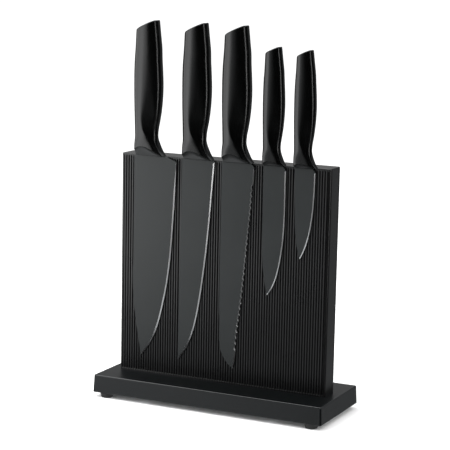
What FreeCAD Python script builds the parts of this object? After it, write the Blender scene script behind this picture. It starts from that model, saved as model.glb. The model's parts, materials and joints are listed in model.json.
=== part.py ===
import FreeCAD, Part
import math
import os

# Free-standing magnetic knife block with five knives.
# Units are millimetres. X runs along the block's length, Y from front to back, Z up.
# The origin is on the table surface, under the middle of the base.

# ---------------------------------------------------------------- base
FOOT_HEIGHT = 5.0
FOOT_TOP_RADIUS = 7.0
FOOT_BOTTOM_RADIUS = 6.2
FOOT_EDGE_ROUNDING = 1.0
FOOT_STEM_RADIUS = 2.5
FOOT_STEM_LENGTH = 3.8
FOOT_X = 112.1
FOOT_Y = 40.5

BASE_TOP_LENGTH = 248.1
BASE_TOP_DEPTH = 93.6
BASE_DRAFT = 0.7
BASE_HEIGHT = 18.0
BASE_CORNER_RADIUS = 1.5
BASE_EDGE_ROUNDING = 1.0
BASE_WALL = 3.0
BASE_ROOF = 4.0
BASE_BOTTOM_Z = FOOT_HEIGHT
BASE_TOP_Z = BASE_BOTTOM_Z + BASE_HEIGHT
BASE_ROOF_UNDERSIDE_Z = BASE_TOP_Z - BASE_ROOF

UNDERPLATE_THICKNESS = 2.5
UNDERPLATE_GAP = 0.2
UNDERPLATE_TOP_Z = BASE_BOTTOM_Z + UNDERPLATE_THICKNESS

BOSS_X = 70.0
BOSS_Y = 40.0
BOSS_RADIUS = 3.5
UNDERPLATE_SCREW_RADIUS = 1.5
UNDERPLATE_SCREW_HEAD_RADIUS = 3.0
UNDERPLATE_SCREW_HEAD_HEIGHT = 1.5
UNDERPLATE_SCREW_LENGTH = 10.0

BALLAST_LENGTH = 214.0
BALLAST_DEPTH = 72.0
BALLAST_THICKNESS = 8.0
BALLAST_BOTTOM_Z = BASE_ROOF_UNDERSIDE_Z - BALLAST_THICKNESS

# ---------------------------------------------------------------- upright board
BOARD_LENGTH = 226.8
BOARD_THICKNESS = 24.0
BOARD_HEIGHT = 223.3
BOARD_CORNER_RADIUS = 2.5
BOARD_TOP_ROUNDING = 0.8
BOARD_WALL = 3.0
BACK_SHELL_DEPTH = 6.0
BOARD_BOTTOM_Z = BASE_TOP_Z
BOARD_TOP_Z = BOARD_BOTTOM_Z + BOARD_HEIGHT
BOARD_FRONT_Y = -BOARD_THICKNESS / 2
BOARD_BACK_Y = BOARD_THICKNESS / 2
SEAM_Y = BOARD_BACK_Y - BACK_SHELL_DEPTH
CAVITY_LENGTH = BOARD_LENGTH - 2 * BOARD_WALL
CAVITY_HEIGHT = BOARD_HEIGHT - BOARD_WALL
CAVITY_HALF_DEPTH = BOARD_THICKNESS / 2 - BOARD_WALL

GROOVE_COUNT = 82
GROOVE_PITCH = 2.722
GROOVE_WIDTH = 1.2
GROOVE_DEPTH = 1.0
GROOVE_TOP_MARGIN = 2.0
GROOVE_BOTTOM_MARGIN = 1.5

LIP_THICKNESS = 1.4
LIP_DEPTH = 3.0
LIP_GAP = 0.15

PEG_X = 102.0
PEG_HEIGHTS = (31.0, 134.0, 234.0)
PEG_RADIUS = 2.5
PEG_TIP_Y = -4.5
SOCKET_RADIUS = 4.5
SOCKET_END_Y = 1.0
SOCKET_BOTTOM_Y = -5.0

FOOT_BAR_LENGTH = 216.0
FOOT_BAR_DEPTH = 17.0
FOOT_BAR_HEIGHT = 16.0
FOOT_BAR_HOLE_RADIUS = 4.7

PANEL_BOLT_XS = (-75.0, -25.0, 25.0, 75.0)
PANEL_BOLT_RADIUS = 2.5
PANEL_BOLT_HEAD_RADIUS = 4.75
PANEL_BOLT_HEAD_HEIGHT = 2.75
PANEL_BOLT_SOCKET_RADIUS = 1.5
PANEL_BOLT_SOCKET_DEPTH = 1.6
PANEL_BOLT_LENGTH = 24.0
WASHER_RADIUS = 7.0
WASHER_THICKNESS = 0.3

YOKE_LENGTH = 184.0
YOKE_HEIGHT = 192.0
YOKE_HALF_THICKNESS = 1.0
CARRIER_LENGTH = 188.0
CARRIER_HEIGHT = 196.0
CARRIER_BOTTOM_Z = 42.0
MAGNET_WIDTH = 18.0
MAGNET_HEIGHT = 30.0
MAGNET_THICKNESS = 7.0
MAGNET_POCKET_GAP = 0.2
MAGNET_PITCH = 26.0
MAGNETS_PER_ROW = 7
MAGNET_ROWS = {"low": 80.0, "middle": 140.0, "high": 200.0}

# ---------------------------------------------------------------- knives
BLADE_THICKNESS = 2.2
BLADE_BEVEL = 0.85
BLADE_MIDDLE_Y = BOARD_FRONT_Y - BLADE_THICKNESS / 2
SHOULDER_BELOW_BOARD_TOP = 0.8
SHOULDER_Z = BOARD_TOP_Z - SHOULDER_BELOW_BOARD_TOP
TANG_THICKNESS = 1.4
TANG_WIDTH = 0.42
TANG_START = 0.22
TANG_LENGTH = 0.72

SECTION_POINTS = 24
SECTION_EXPONENT = 2.5
BOLSTER_LENGTH = 11.5
COVE_RADIUS = 12.0
COVE_WEB = 0.85
BUTT_SLOPE = math.radians(24.5)
BUTT_RISE = 0.5
BUTT_CROWN_RADIUS = 260.0
BUTT_EDGE_ROUNDING = 1.0

# Handle outline along its length: (distance from the blade shoulder as a share of the
# handle's length, spine inset, belly position and half thickness as shares of its depth).
BIG_HANDLE_PROFILE = (
    (0.00, 0.050, 1.160, 0.245),
    (0.06, 0.045, 0.960, 0.250),
    (0.12, 0.038, 0.874, 0.255),
    (0.18, 0.030, 0.868, 0.262),
    (0.26, 0.022, 0.929, 0.280),
    (0.36, 0.012, 0.986, 0.302),
    (0.48, 0.003, 1.017, 0.318),
    (0.58, 0.000, 1.005, 0.320),
    (0.72, 0.020, 0.965, 0.312),
    (0.86, 0.055, 0.915, 0.297),
    (1.03, 0.110, 0.850, 0.275),
)
SMALL_HANDLE_PROFILE = BIG_HANDLE_PROFILE[:-3] + (
    (0.72, 0.020, 0.955, 0.312),
    (0.86, 0.055, 0.880, 0.297),
    (1.03, 0.110, 0.785, 0.275),
)

BIG_HANDLE = {"depth": 29.8, "profile": BIG_HANDLE_PROFILE}
SMALL_HANDLE = {"depth": 21.8, "profile": SMALL_HANDLE_PROFILE}

SERRATION_PITCH = 6.0
SERRATION_RADIUS = 4.2
SERRATION_DEPTH = 1.3
SERRATION_START = 20.0
SERRATION_END = 184.0

# Each knife: x of the handle's spine, the handle's length and shape, and the blade's outline.
# Outline points are (distance from the spine towards the edge, distance below the shoulder).
# heel runs along the shoulder to the heel corner, edge from there to the tip, and spine
# from the tip back up to where the blade's back becomes straight.
KNIVES = {
    "chef": {
        "spine_x": -98.2,
        "handle": {"length": 137.2, **BIG_HANDLE},
        "heel": ((36.5, 0.0), (39.5, 1.6), (47.3, 4.2)),
        "edge": ((45.8, 39.0), (43.2, 84.0), (38.2, 129.0), (33.6, 152.0), (25.0, 181.0)),
        "tip": (10.0, 204.0),
        "spine": ((5.2, 178.0), (1.5, 153.0)),
        "straight_back": (0.0, 110.0),
        "back_top": 0.0,
    },
    "carving": {
        "spine_x": -44.8,
        "handle": {"length": 136.5, **BIG_HANDLE},
        "heel": ((33.8, 0.0), (35.6, 1.2)),
        "edge": ((32.9, 38.6), (29.2, 83.0), (23.8, 128.0), (18.6, 159.0), (10.4, 185.6)),
        "tip": (-1.4, 203.7),
        "spine": ((-1.2, 170.0),),
        "straight_back": (-1.1, 140.0),
        "back_top": 0.4,
    },
    "bread": {
        "spine_x": -1.6,
        "handle": {"length": 135.7, **BIG_HANDLE},
        "heel": ((32.2, 0.0), (35.1, 3.0)),
        "edge": ((33.9, 30.0), (29.0, 90.0), (24.9, 136.0), (20.8, 170.0), (19.0, 190.0)),
        "tip": (16.6, 205.4),
        "spine": ((9.0, 199.0), (3.6, 190.0), (1.2, 177.0)),
        "straight_back": (0.6, 150.0),
        "back_top": 0.6,
    },
    "utility": {
        "spine_x": 41.7,
        "handle": {"length": 116.6, **SMALL_HANDLE},
        "heel": ((22.4, 0.0), (25.2, 4.0)),
        "edge": ((25.2, 46.0), (24.0, 73.0), (19.9, 101.0), (15.4, 116.0)),
        "tip": (8.6, 127.4),
        "spine": ((5.4, 113.0), (3.2, 95.0)),
        "straight_back": (2.1, 62.0),
        "back_top": 1.7,
    },
    "paring": {
        "spine_x": 74.3,
        "handle": {"length": 115.0, **SMALL_HANDLE},
        "heel": ((20.5, 0.0), (23.2, 3.6)),
        "edge": ((22.6, 30.0), (20.6, 52.0), (16.2, 73.0)),
        "tip": (9.4, 88.9),
        "spine": ((6.2, 76.0),),
        "straight_back": (3.6, 50.0),
        "back_top": 1.9,
    },
}


# ---------------------------------------------------------------- helpers
def vector(x, y, z):
    return FreeCAD.Vector(x, y, z)


def centred_box(length, depth, height, middle_y, bottom_z):
    corner = vector(-length / 2, middle_y - depth / 2, bottom_z)
    return Part.makeBox(length, depth, height, corner)


def upright_cylinder(radius, height, x, y, bottom_z):
    return Part.makeCylinder(radius, height, vector(x, y, bottom_z))


def cross_cylinder(radius, x, z, start_y, end_y):
    return Part.makeCylinder(radius, end_y - start_y, vector(x, start_y, z), vector(0, 1, 0))


def four_corners(x, y):
    return [(x * side, y * end) for side in (-1, 1) for end in (-1, 1)]


def rounded_wire(length, depth, radius, z):
    """A rectangle with rounded corners in the plane at height z, centred on the Z axis."""
    half_x = length / 2
    half_y = depth / 2
    bow = radius * (1 - math.sqrt(0.5))
    edges = []
    previous = None
    first = None
    for sign_x, sign_y in ((1, -1), (1, 1), (-1, 1), (-1, -1)):
        along_x = vector(sign_x * (half_x - radius), sign_y * half_y, z)
        along_y = vector(sign_x * half_x, sign_y * (half_y - radius), z)
        middle = vector(sign_x * (half_x - bow), sign_y * (half_y - bow), z)
        start, end = (along_x, along_y) if sign_x * sign_y < 0 else (along_y, along_x)
        if previous is None:
            first = start
        else:
            edges.append(Part.LineSegment(previous, start).toShape())
        edges.append(Part.Arc(start, middle, end).toShape())
        previous = end
    edges.append(Part.LineSegment(previous, first).toShape())
    return Part.Wire(edges)


def rounded_block(length, depth, radius, bottom_z, height):
    face = Part.Face(rounded_wire(length, depth, radius, bottom_z))
    return face.extrude(vector(0, 0, height))


def round_edges_at_height(shape, z, radius):
    edges = [edge for edge in shape.Edges if is_flat_edge_at(edge, z)]
    return shape.makeFillet(radius, edges)


def is_flat_edge_at(edge, z):
    box = edge.BoundBox
    return abs(box.ZMin - z) < 1e-4 and abs(box.ZMax - z) < 1e-4


# ---------------------------------------------------------------- base pieces
def base_shell():
    lower = rounded_wire(
        BASE_TOP_LENGTH + 2 * BASE_DRAFT, BASE_TOP_DEPTH + 2 * BASE_DRAFT, BASE_CORNER_RADIUS, BASE_BOTTOM_Z
    )
    upper = rounded_wire(BASE_TOP_LENGTH, BASE_TOP_DEPTH, BASE_CORNER_RADIUS, BASE_TOP_Z)
    outside = Part.makeLoft([lower, upper], True, True)
    outside = round_edges_at_height(outside, BASE_TOP_Z, BASE_EDGE_ROUNDING)
    hollow = centred_box(
        BASE_TOP_LENGTH - 2 * BASE_WALL,
        BASE_TOP_DEPTH - 2 * BASE_WALL,
        BASE_HEIGHT - BASE_ROOF,
        0,
        BASE_BOTTOM_Z,
    )
    shell = outside.cut(hollow)
    for x, y in four_corners(BOSS_X, BOSS_Y):
        height = BASE_ROOF_UNDERSIDE_Z - UNDERPLATE_TOP_Z
        shell = shell.fuse(upright_cylinder(BOSS_RADIUS, height, x, y, UNDERPLATE_TOP_Z))
    shell = shell.cut(underplate_screws())
    return shell.cut(panel_bolt_shanks())


def underplate():
    plate = centred_box(
        BASE_TOP_LENGTH - 2 * BASE_WALL - 2 * UNDERPLATE_GAP,
        BASE_TOP_DEPTH - 2 * BASE_WALL - 2 * UNDERPLATE_GAP,
        UNDERPLATE_THICKNESS,
        0,
        BASE_BOTTOM_Z,
    )
    for x, y in four_corners(FOOT_X, FOOT_Y):
        plate = plate.cut(foot(x, y))
    return plate.cut(underplate_screws())


def underplate_screw(x, y):
    head = Part.makeCone(
        UNDERPLATE_SCREW_HEAD_RADIUS,
        UNDERPLATE_SCREW_RADIUS,
        UNDERPLATE_SCREW_HEAD_HEIGHT,
        vector(x, y, BASE_BOTTOM_Z),
    )
    shank = upright_cylinder(UNDERPLATE_SCREW_RADIUS, UNDERPLATE_SCREW_LENGTH, x, y, BASE_BOTTOM_Z)
    return head.fuse(shank)


def underplate_screws():
    return Part.makeCompound([underplate_screw(x, y) for x, y in four_corners(BOSS_X, BOSS_Y)])


def foot(x, y):
    pad = Part.makeCone(FOOT_BOTTOM_RADIUS, FOOT_TOP_RADIUS, FOOT_HEIGHT, vector(x, y, 0))
    pad = round_edges_at_height(pad, 0, FOOT_EDGE_ROUNDING)
    stem = upright_cylinder(FOOT_STEM_RADIUS, FOOT_STEM_LENGTH, x, y, FOOT_HEIGHT)
    return pad.fuse(stem)


def ballast_plate():
    plate = centred_box(BALLAST_LENGTH, BALLAST_DEPTH, BALLAST_THICKNESS, 0, BALLAST_BOTTOM_Z)
    return plate.cut(panel_bolt_shanks())


def panel_bolt_shank(x):
    return upright_cylinder(PANEL_BOLT_RADIUS, PANEL_BOLT_LENGTH, x, 0, BALLAST_BOTTOM_Z - WASHER_THICKNESS)


def panel_bolt_shanks():
    return Part.makeCompound([panel_bolt_shank(x) for x in PANEL_BOLT_XS])


def panel_bolt(x):
    head_bottom = BALLAST_BOTTOM_Z - WASHER_THICKNESS - PANEL_BOLT_HEAD_HEIGHT
    head = upright_cylinder(PANEL_BOLT_HEAD_RADIUS, PANEL_BOLT_HEAD_HEIGHT, x, 0, head_bottom)
    key_socket = upright_cylinder(PANEL_BOLT_SOCKET_RADIUS, PANEL_BOLT_SOCKET_DEPTH, x, 0, head_bottom)
    return head.fuse(panel_bolt_shank(x)).cut(key_socket)


def bolt_washer(x):
    bottom = BALLAST_BOTTOM_Z - WASHER_THICKNESS
    disc = upright_cylinder(WASHER_RADIUS, WASHER_THICKNESS, x, 0, bottom)
    return disc.cut(panel_bolt_shank(x))


# ---------------------------------------------------------------- board pieces
def board_block():
    block = rounded_block(
        BOARD_LENGTH, BOARD_THICKNESS, BOARD_CORNER_RADIUS, BOARD_BOTTOM_Z, BOARD_HEIGHT
    )
    return round_edges_at_height(block, BOARD_TOP_Z, BOARD_TOP_ROUNDING)


def groove(x, start_y, end_y):
    """An upright slot with rounded ends, cut into one face of the board."""
    low = BOARD_BOTTOM_Z + GROOVE_BOTTOM_MARGIN + GROOVE_WIDTH / 2
    high = BOARD_TOP_Z - GROOVE_TOP_MARGIN - GROOVE_WIDTH / 2
    corner = vector(x - GROOVE_WIDTH / 2, start_y, low)
    slot = Part.makeBox(GROOVE_WIDTH, end_y - start_y, high - low, corner)
    slot = slot.fuse(cross_cylinder(GROOVE_WIDTH / 2, x, low, start_y, end_y))
    return slot.fuse(cross_cylinder(GROOVE_WIDTH / 2, x, high, start_y, end_y))


def grooves(start_y, end_y):
    first = -GROOVE_PITCH * (GROOVE_COUNT - 1) / 2
    xs = [first + GROOVE_PITCH * index for index in range(GROOVE_COUNT)]
    return Part.makeCompound([groove(x, start_y, end_y) for x in xs])


def peg_positions():
    return [(PEG_X * side, z) for side in (-1, 1) for z in PEG_HEIGHTS]


def front_shell():
    front_part = centred_box(
        BOARD_LENGTH, SEAM_Y - BOARD_FRONT_Y, BOARD_HEIGHT, (SEAM_Y + BOARD_FRONT_Y) / 2, BOARD_BOTTOM_Z
    )
    hollow = centred_box(
        CAVITY_LENGTH,
        SEAM_Y + CAVITY_HALF_DEPTH,
        CAVITY_HEIGHT,
        (SEAM_Y - CAVITY_HALF_DEPTH) / 2,
        BOARD_BOTTOM_Z,
    )
    shell = board_block().common(front_part).cut(hollow)
    shell = shell.cut(grooves(BOARD_FRONT_Y, BOARD_FRONT_Y + GROOVE_DEPTH))
    for x, z in peg_positions():
        shell = shell.fuse(cross_cylinder(SOCKET_RADIUS, x, z, -CAVITY_HALF_DEPTH, SOCKET_END_Y))
    for x, z in peg_positions():
        shell = shell.cut(cross_cylinder(PEG_RADIUS, x, z, SOCKET_BOTTOM_Y, SOCKET_END_Y))
    return shell


def back_shell():
    back_part = centred_box(
        BOARD_LENGTH, BACK_SHELL_DEPTH, BOARD_HEIGHT, SEAM_Y + BACK_SHELL_DEPTH / 2, BOARD_BOTTOM_Z
    )
    lip_length = CAVITY_LENGTH - 2 * LIP_GAP
    lip_height = CAVITY_HEIGHT - LIP_GAP
    lip = centred_box(lip_length, LIP_DEPTH, lip_height, SEAM_Y - LIP_DEPTH / 2, BOARD_BOTTOM_Z)
    hollow = centred_box(
        lip_length - 2 * LIP_THICKNESS,
        LIP_DEPTH + CAVITY_HALF_DEPTH - SEAM_Y,
        lip_height - LIP_THICKNESS,
        (SEAM_Y - LIP_DEPTH + CAVITY_HALF_DEPTH) / 2,
        BOARD_BOTTOM_Z,
    )
    shell = board_block().common(back_part).fuse(lip).cut(hollow)
    shell = shell.cut(grooves(BOARD_BACK_Y - GROOVE_DEPTH, BOARD_BACK_Y))
    for x, z in peg_positions():
        shell = shell.fuse(cross_cylinder(PEG_RADIUS, x, z, PEG_TIP_Y, CAVITY_HALF_DEPTH))
    return shell


def foot_bar():
    bar = centred_box(FOOT_BAR_LENGTH, FOOT_BAR_DEPTH, FOOT_BAR_HEIGHT, 0, BOARD_BOTTOM_Z)
    for side in (-1, 1):
        passage = cross_cylinder(
            FOOT_BAR_HOLE_RADIUS, PEG_X * side, PEG_HEIGHTS[0], -FOOT_BAR_DEPTH / 2, FOOT_BAR_DEPTH / 2
        )
        bar = bar.cut(passage)
    return bar.cut(panel_bolt_shanks())


def yoke_plate():
    bottom = CARRIER_BOTTOM_Z + (CARRIER_HEIGHT - YOKE_HEIGHT) / 2
    return centred_box(YOKE_LENGTH, 2 * YOKE_HALF_THICKNESS, YOKE_HEIGHT, 0, bottom)


def magnet_block(x, z, side, gap):
    """One magnet against the yoke; side is -1 for the front, and gap enlarges it to its pocket."""
    width = MAGNET_WIDTH + 2 * gap
    height = MAGNET_HEIGHT + 2 * gap
    thickness = MAGNET_THICKNESS if gap == 0 else CAVITY_HALF_DEPTH - YOKE_HALF_THICKNESS
    near = YOKE_HALF_THICKNESS if side > 0 else -YOKE_HALF_THICKNESS - thickness
    return Part.makeBox(width, thickness, height, vector(x - width / 2, near, z - height / 2))


def magnet_row(z, side, gap):
    first = -MAGNET_PITCH * (MAGNETS_PER_ROW - 1) / 2
    xs = [first + MAGNET_PITCH * index for index in range(MAGNETS_PER_ROW)]
    return Part.makeCompound([magnet_block(x, z, side, gap) for x in xs])


def magnet_carrier(side):
    depth = CAVITY_HALF_DEPTH - YOKE_HALF_THICKNESS
    middle = side * (CAVITY_HALF_DEPTH + YOKE_HALF_THICKNESS) / 2
    carrier = centred_box(CARRIER_LENGTH, depth, CARRIER_HEIGHT, middle, CARRIER_BOTTOM_Z)
    for z in MAGNET_ROWS.values():
        carrier = carrier.cut(magnet_row(z, side, MAGNET_POCKET_GAP))
    return carrier


# ---------------------------------------------------------------- knife pieces
def knife_point(knife, u, below):
    return vector(knife["spine_x"] + u, BLADE_MIDDLE_Y - BLADE_THICKNESS / 2, SHOULDER_Z - below)


def curve_through(points):
    curve = Part.BSplineCurve()
    curve.interpolate(points)
    return curve


def edge_curve(knife):
    outline = (knife["heel"][-1],) + knife["edge"] + (knife["tip"],)
    return curve_through([knife_point(knife, u, below) for u, below in outline])


def spine_curve(knife):
    outline = (knife["tip"],) + knife["spine"] + (knife["straight_back"],)
    return curve_through([knife_point(knife, u, below) for u, below in outline])


def blade_outline(knife):
    back_top = knife_point(knife, knife["back_top"], 0)
    shoulder = [back_top] + [knife_point(knife, u, below) for u, below in knife["heel"]]
    edges = [Part.LineSegment(a, b).toShape() for a, b in zip(shoulder, shoulder[1:])]
    edges.append(edge_curve(knife).toShape())
    edges.append(spine_curve(knife).toShape())
    straight_end = knife_point(knife, *knife["straight_back"])
    edges.append(Part.LineSegment(straight_end, back_top).toShape())
    return Part.Wire(edges)


def is_cutting_edge(edge, heel, tip):
    """True for a blade edge that runs from the heel to the tip, on either flank."""
    ends = [vertex.Point for vertex in edge.Vertexes]
    if len(ends) != 2 or abs(ends[0].y - ends[1].y) > 1e-4:
        return False
    targets = (heel, tip)
    near = [min(math.hypot(p.x - t.x, p.z - t.z) for p in ends) for t in targets]
    return max(near) < 1e-3


def blade_plate(knife):
    plate = Part.Face(blade_outline(knife)).extrude(vector(0, BLADE_THICKNESS, 0))
    heel = knife_point(knife, *knife["heel"][-1])
    tip = knife_point(knife, *knife["tip"])
    edges = [edge for edge in plate.Edges if is_cutting_edge(edge, heel, tip)]
    return plate.makeChamfer(BLADE_BEVEL, edges)


def tang(knife):
    handle = knife["handle"]
    start = knife["spine_x"] + TANG_START * handle["depth"]
    corner = vector(start, BLADE_MIDDLE_Y - TANG_THICKNESS / 2, SHOULDER_Z)
    return Part.makeBox(
        TANG_WIDTH * handle["depth"], TANG_THICKNESS, TANG_LENGTH * handle["length"], corner
    )


def plain_blade(knife):
    return blade_plate(knife).fuse(tang(knife))


def serrations(knife):
    """Round cutters spaced evenly along the cutting edge."""
    curve = edge_curve(knife)
    cutters = []
    distance = SERRATION_START
    while distance < SERRATION_END:
        point = curve.value(curve.parameterAtDistance(distance, curve.FirstParameter))
        reach = SERRATION_RADIUS - SERRATION_DEPTH
        cutters.append(
            cross_cylinder(
                SERRATION_RADIUS, point.x + reach, point.z, point.y - 1, point.y + BLADE_THICKNESS + 1
            )
        )
        distance += SERRATION_PITCH
    return Part.makeCompound(cutters)


def serrated_blade(knife):
    return blade_plate(knife).cut(serrations(knife)).fuse(tang(knife))


def signed_power(value, exponent):
    return math.copysign(abs(value) ** exponent, value)


def handle_section(knife, share, *proportions):
    spine, belly, half_thickness = [value * knife["handle"]["depth"] for value in proportions]
    middle_x = knife["spine_x"] + (spine + belly) / 2
    half_depth = (belly - spine) / 2
    z = SHOULDER_Z + share * knife["handle"]["length"]
    points = []
    for index in range(SECTION_POINTS):
        angle = 2 * math.pi * index / SECTION_POINTS
        x = middle_x + half_depth * signed_power(math.cos(angle), 2 / SECTION_EXPONENT)
        y = BLADE_MIDDLE_Y + half_thickness * signed_power(math.sin(angle), 2 / SECTION_EXPONENT)
        points.append(vector(x, y, z))
    curve = Part.BSplineCurve()
    curve.interpolate(points, PeriodicFlag=True)
    return Part.Wire([curve.toShape()])


def handle_blank(knife):
    sections = [handle_section(knife, *row) for row in knife["handle"]["profile"]]
    return Part.makeLoft(sections, True, False)


def butt_cutter(knife):
    """Everything above the slanted, slightly crowned end of the handle."""
    length = knife["handle"]["length"]
    depth = knife["handle"]["depth"]
    spine_x = knife["spine_x"]
    middle_z = SHOULDER_Z + length - depth / 2 * math.tan(BUTT_SLOPE) + BUTT_RISE
    middle = vector(spine_x + depth / 2, BLADE_MIDDLE_Y, middle_z)
    centre = middle - vector(-math.sin(BUTT_SLOPE), 0, math.cos(BUTT_SLOPE)) * BUTT_CROWN_RADIUS
    crown = Part.makeCylinder(
        BUTT_CROWN_RADIUS, 3 * depth, centre - vector(0, 1.5 * depth, 0), vector(0, 1, 0)
    )
    corner = vector(spine_x - depth, BLADE_MIDDLE_Y - 1.5 * depth, SHOULDER_Z + 0.8 * length)
    return Part.makeBox(3 * depth, 3 * depth, length, corner).cut(crown)


def round_butt(grip):
    """Softens the rim of the handle's crowned end."""
    for face in grip.Faces:
        surface = face.Surface
        if surface.TypeId == "Part::GeomCylinder" and abs(surface.Radius - BUTT_CROWN_RADIUS) < 1e-3:
            return grip.makeFillet(BUTT_EDGE_ROUNDING, face.Edges)
    raise ValueError("the handle has no crowned end")


def cove_cutters(knife):
    """The two hollows that thin the bolster down to the blade, front and back."""
    reach = COVE_WEB + COVE_RADIUS
    length = 3 * knife["handle"]["depth"]
    start_x = knife["spine_x"] - knife["handle"]["depth"]
    cutters = []
    for side in (-1, 1):
        centre = vector(start_x, BLADE_MIDDLE_Y + side * reach, SHOULDER_Z)
        cutters.append(Part.makeCylinder(COVE_RADIUS, length, centre, vector(1, 0, 0)))
    return Part.makeCompound(cutters)


def slab(knife, low, high):
    depth = knife["handle"]["depth"]
    corner = vector(knife["spine_x"] - depth, BLADE_MIDDLE_Y - depth, SHOULDER_Z + low)
    return Part.makeBox(3 * depth, 2 * depth, high - low, corner)


def bolster(knife):
    blank = handle_blank(knife).common(slab(knife, 0, BOLSTER_LENGTH))
    return blank.cut(cove_cutters(knife)).cut(tang(knife))


def handle(knife):
    top = knife["handle"]["length"] * 1.02
    blank = handle_blank(knife).common(slab(knife, BOLSTER_LENGTH, top))
    grip = round_butt(blank.cut(cove_cutters(knife)).cut(butt_cutter(knife)))
    return grip.cut(tang(knife))


# ---------------------------------------------------------------- export
def stand_pieces():
    pieces = {
        "base_shell": base_shell(),
        "base_underplate": underplate(),
        "underplate_screws": underplate_screws(),
        "ballast_plate": ballast_plate(),
        "panel_bolts": Part.makeCompound([panel_bolt(x) for x in PANEL_BOLT_XS]),
        "bolt_washers": Part.makeCompound([bolt_washer(x) for x in PANEL_BOLT_XS]),
        "panel_front_shell": front_shell(),
        "panel_back_shell": back_shell(),
        "panel_foot_bar": foot_bar(),
        "yoke_plate": yoke_plate(),
        "front_magnet_carrier": magnet_carrier(-1),
        "back_magnet_carrier": magnet_carrier(1),
    }
    for end, sign_x in (("left", -1), ("right", 1)):
        for face, sign_y in (("front", -1), ("back", 1)):
            pieces[f"foot_{face}_{end}"] = foot(sign_x * FOOT_X, sign_y * FOOT_Y)
    for face, side in (("front", -1), ("back", 1)):
        for row, z in MAGNET_ROWS.items():
            pieces[f"{face}_magnets_{row}"] = magnet_row(z, side, 0)
    return pieces


def knife_pieces():
    pieces = {}
    for name, knife in KNIVES.items():
        make_blade = serrated_blade if name == "bread" else plain_blade
        pieces[f"{name}_blade"] = make_blade(knife)
        pieces[f"{name}_bolster"] = bolster(knife)
        pieces[f"{name}_handle"] = handle(knife)
    return pieces


def main():
    os.makedirs("parts", exist_ok=True)
    for node, shape in {**stand_pieces(), **knife_pieces()}.items():
        shape.exportStep(f"parts/{node}.step")
        print(f"{node}: {len(shape.Solids)} solids, valid {shape.isValid()}, {shape.Volume:.0f} mm3")


main()
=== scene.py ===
import bisect
import json
import math

import bpy
from mathutils import Matrix, Vector
from mathutils.bvhtree import BVHTree


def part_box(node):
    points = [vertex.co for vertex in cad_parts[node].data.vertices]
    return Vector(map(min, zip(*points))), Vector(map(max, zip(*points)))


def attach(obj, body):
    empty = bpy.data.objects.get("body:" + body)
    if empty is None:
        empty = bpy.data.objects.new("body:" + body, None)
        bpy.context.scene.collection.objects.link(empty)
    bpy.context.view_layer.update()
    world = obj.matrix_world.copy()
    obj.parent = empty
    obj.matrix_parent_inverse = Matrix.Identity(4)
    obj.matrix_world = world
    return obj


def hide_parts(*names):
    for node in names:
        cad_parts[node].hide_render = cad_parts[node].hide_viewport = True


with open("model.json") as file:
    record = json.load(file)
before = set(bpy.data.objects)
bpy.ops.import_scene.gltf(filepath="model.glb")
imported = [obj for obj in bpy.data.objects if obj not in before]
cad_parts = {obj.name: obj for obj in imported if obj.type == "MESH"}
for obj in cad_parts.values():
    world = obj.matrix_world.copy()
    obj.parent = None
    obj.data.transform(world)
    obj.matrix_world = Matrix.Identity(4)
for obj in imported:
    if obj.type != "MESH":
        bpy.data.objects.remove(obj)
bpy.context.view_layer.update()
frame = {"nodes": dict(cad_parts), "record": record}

# Lengths are in metres, named through MM where the real thing is measured in millimetres.
MM = 0.001

# ---------------------------------------------------------------- sizes of the looks
BASE_WALL = 3.0 * MM
BASE_ROOF = 4.0 * MM
BASE_CORNER = 1.5 * MM
BASE_DRAFT = 0.7 * MM
BASE_TOP_ROUNDING = 1.0 * MM
BASE_BOTTOM_ROUNDING = 0.4 * MM

FOOT_ROUNDING = 1.1 * MM
FOOT_TOP_SHARE = 0.985
FOOT_BOTTOM_SHARE = 0.875
FOOT_STEM_RADIUS = 2.5 * MM
FOOT_DIMPLE_RADIUS = 3.0 * MM
FOOT_DIMPLE_DEPTH = 0.8 * MM

BOARD_WALL = 3.0 * MM
BOARD_CORNER = 2.5 * MM
BOARD_TOP_ROUNDING = 0.8 * MM
SEAM_CHAMFER = 0.16 * MM
GROOVE_COUNT = 82
GROOVE_PITCH = 2.722 * MM
GROOVE_DEPTH = 1.0 * MM
GROOVE_FLOOR_REACH = 0.36 * MM
GROOVE_LIP_REACH = 0.62 * MM
GROOVE_STEPS = (0.36 * MM, 0.43 * MM, 0.50 * MM, 0.56 * MM, 0.62 * MM)
RIB_STEPS = (0.75 * MM, 0.90 * MM, 1.05 * MM, 1.20 * MM)
RIB_CROWN = 0.34 * MM
GROOVE_LOW_END = 2.1 * MM
GROOVE_HIGH_END = 2.6 * MM

BEVEL_LAND = 0.16 * MM
SPINE_BREAK = 0.25 * MM
# (distance below the shoulder, how much thinner each flank is there)
SHOULDER_STEPS = ((0.0, 0.42 * MM), (0.6 * MM, 0.08 * MM), (1.6 * MM, 0.0))
HEEL_SEARCH = 8.0 * MM

# Each blade: how far below the heel the ground edge takes to reach its full width, and that width.
GRINDS = {
    "chef": (32.0 * MM, 1.0 * MM),
    "carving": (0.5 * MM, 0.95 * MM),
    "bread": (3.0 * MM, 0.55 * MM),
    "utility": (0.5 * MM, 0.68 * MM),
    "paring": (0.5 * MM, 0.68 * MM),
}

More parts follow.
